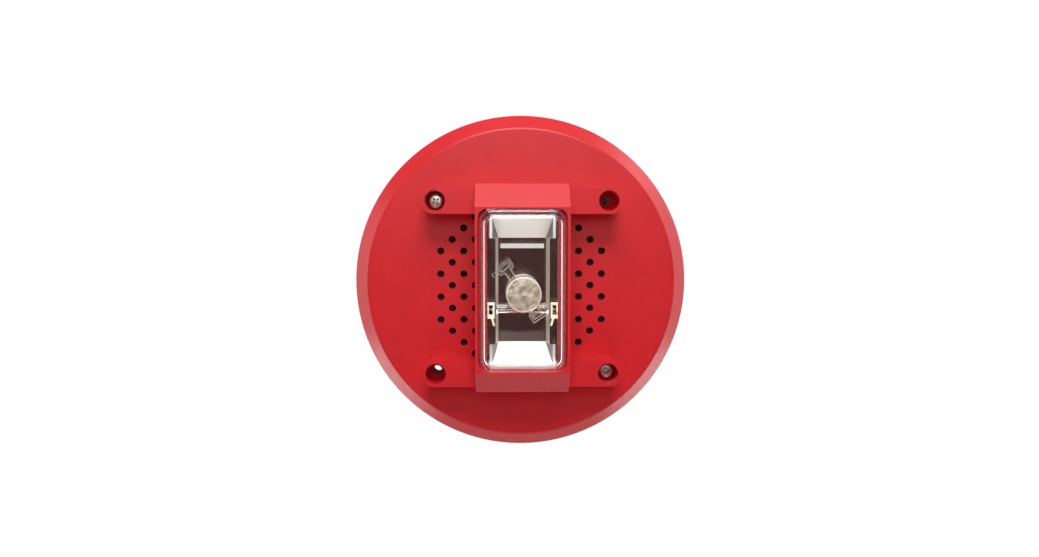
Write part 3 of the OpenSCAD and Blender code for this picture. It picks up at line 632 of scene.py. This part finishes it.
def make_lens(material):
    """The clear lens: a shell with round shoulders, on a flange."""
    low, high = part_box("lens")
    wall, corner = LENS_WALL, LENS_CORNER_R
    flange = (high.x - low.x, high.z - low.z)
    centre = ((high.x + low.x) / 2, (high.z + low.z) / 2)
    dome = (flange[0] - LENS_DOME_INSET[0], flange[1] - LENS_DOME_INSET[1])
    flange_front = high.y - LENS_FLANGE
    outer = [
        round_rect(dome[0] - 2 * wall, dome[1] - 2 * wall, corner - wall, high.y, centre),
        round_rect(*flange, LENS_FLANGE_CORNER_R, high.y, centre),
        round_rect(*flange, LENS_FLANGE_CORNER_R, flange_front + 0.25 * MM, centre),
        round_rect(flange[0] - 0.5 * MM, flange[1] - 0.5 * MM, 4.7 * MM, flange_front, centre),
        round_rect(dome[0] + 0.4 * MM, dome[1] + 0.4 * MM, corner, flange_front, centre),
        *lens_rings(dome, centre, low.y, 0, LENS_SHOULDER_R[0], corner, flange_front - 0.3 * MM),
    ]
    inner = lens_rings(dome, centre, low.y + wall, wall, LENS_SHOULDER_R[1], corner - wall, high.y)
    bm = bmesh.new()
    loft(bm, outer, close=True)
    loft(bm, inner, close=True)
    bmesh.ops.remove_doubles(bm, verts=bm.verts, dist=0.001 * MM)
    bmesh.ops.recalc_face_normals(bm, faces=bm.faces)
    piece = new_piece("lens_shell", bm, material, "clear_lens", "housing", "lens")
    smooth(piece, 50)


def lathe(bm, profile, centre, steps=48):
    """A turned solid about an axis out of the wall; the profile is (radius, height) from back to front."""
    rings = []
    for radius, height in profile:
        rings.append([(centre[0] + radius * math.cos(math.radians(360 * i / steps)), -height,
                       centre[1] + radius * math.sin(math.radians(360 * i / steps))) for i in range(steps)])
    loft(bm, rings)


# The screws' sizes are in millimetres.
# One slot of the cross recess, from its floor up: half length, half width, height above the head's top
RECESS_DEPTH = 2.1
RECESS = ((0.75, 0.28, -RECESS_DEPTH), (2.1, 0.52, 0.1), (2.1, 0.52, 1.5))
SCREW_SEAT = 16.92                         # height of the wells' seats out of the wall
SCREW_HEAD_R, SCREW_SHANK_R = 3.9, 2.0
SCREW_CROWN_R = 1.9                        # where the head's side has turned over to its top
SCREW_CROWN = 1.25                         # height from the start of that turn to the top
SCREW_TOP_BULGE = 0.12                     # how much the top stands out past the end of that turn
CROWN_TURN_STEPS = 8


def wing(centre, top, turn):
    """The cutter for one slot of a cross recess: long and narrow, tapering as it goes in."""
    bm = bmesh.new()
    rings = []
    for half_long, half_wide, height in RECESS:
        ring = [(sx * half_long, sz * half_wide) for sx, sz in ((1, 1), (-1, 1), (-1, -1), (1, -1))]
        rings.append([(centre[0] + (x * math.cos(turn) - z * math.sin(turn)) * MM, -(top + height) * MM,
                       centre[1] + (x * math.sin(turn) + z * math.cos(turn)) * MM) for x, z in ring])
    made = loft(bm, rings, close=True)
    bm.faces.new(list(reversed(made[0])))
    bmesh.ops.recalc_face_normals(bm, faces=bm.faces)
    mesh = bpy.data.meshes.new("cutter")
    bm.to_mesh(mesh)
    bm.free()
    cutter = bpy.data.objects.new("cutter", mesh)
    bpy.context.scene.collection.objects.link(cutter)
    return cutter


def cut(piece, cutters):
    """Cuts a piece for good with other objects, which are then removed."""
    for cutter in cutters:
        hole = piece.modifiers.new("cut", "BOOLEAN")
        hole.operation = "DIFFERENCE"
        hole.solver = "EXACT"
        hole.object = cutter
    graph = bpy.context.evaluated_depsgraph_get()
    mesh = bpy.data.meshes.new_from_object(piece.evaluated_get(graph))
    piece.modifiers.clear()
    piece.data = mesh
    for cutter in cutters:
        bpy.data.objects.remove(cutter)


def screw_profile(end, top):
    """Half the outline of a pan head screw from its tip to its top, as (radius, height) in millimetres."""
    side = top - SCREW_CROWN
    crown_r, crown_height = SCREW_HEAD_R - SCREW_CROWN_R, top - SCREW_TOP_BULGE - side
    shank = [(0.02, end), (SCREW_SHANK_R - 0.5, end), (SCREW_SHANK_R, end + 0.6), (SCREW_SHANK_R, SCREW_SEAT)]
    profile = shank + [(SCREW_HEAD_R, SCREW_SEAT), (SCREW_HEAD_R, SCREW_SEAT + 0.25)]
    for i in range(CROWN_TURN_STEPS + 1):
        a = math.radians(90 * i / CROWN_TURN_STEPS)
        profile.append((SCREW_CROWN_R + crown_r * math.cos(a), side + crown_height * math.sin(a)))
    return profile + [(1.0, top - 0.03), (0.02, top)]


def make_bezel_screws(material):
    """Plated pan head screws with a cross recess, in the two wells that the box screws leave."""
    low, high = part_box("bezel_screws")
    top = -low.y / MM
    profile = [(r * MM, h * MM) for r, h in screw_profile(-high.y / MM, top)]
    for name, sx, turn in (("bezel_screw_upper", -1, 37), ("bezel_screw_lower", 1, 12)):
        centre = (sx * (high.x - SCREW_HEAD_R * MM), -sx * (high.x - SCREW_HEAD_R * MM))
        bm = bmesh.new()
        lathe(bm, profile, centre)
        bmesh.ops.remove_doubles(bm, verts=bm.verts, dist=0.03 * MM)
        bmesh.ops.recalc_face_normals(bm, faces=bm.faces)
        piece = new_piece(name, bm, material, "zinc_steel", "housing", "bezel_screws")
        cut(piece, [wing(centre, top, math.radians(turn + extra)) for extra in (0, 90)])
        smooth(piece, 30)


make_camera()
materials = finish_nodes()
for node_name, edge_mm in EDGE_RADII.items():
    soften(frame["nodes"][node_name], edge_mm * MM)
make_lens(materials["clear_lens"])
make_bezel_screws(materials["zinc_steel"])
make_studio()
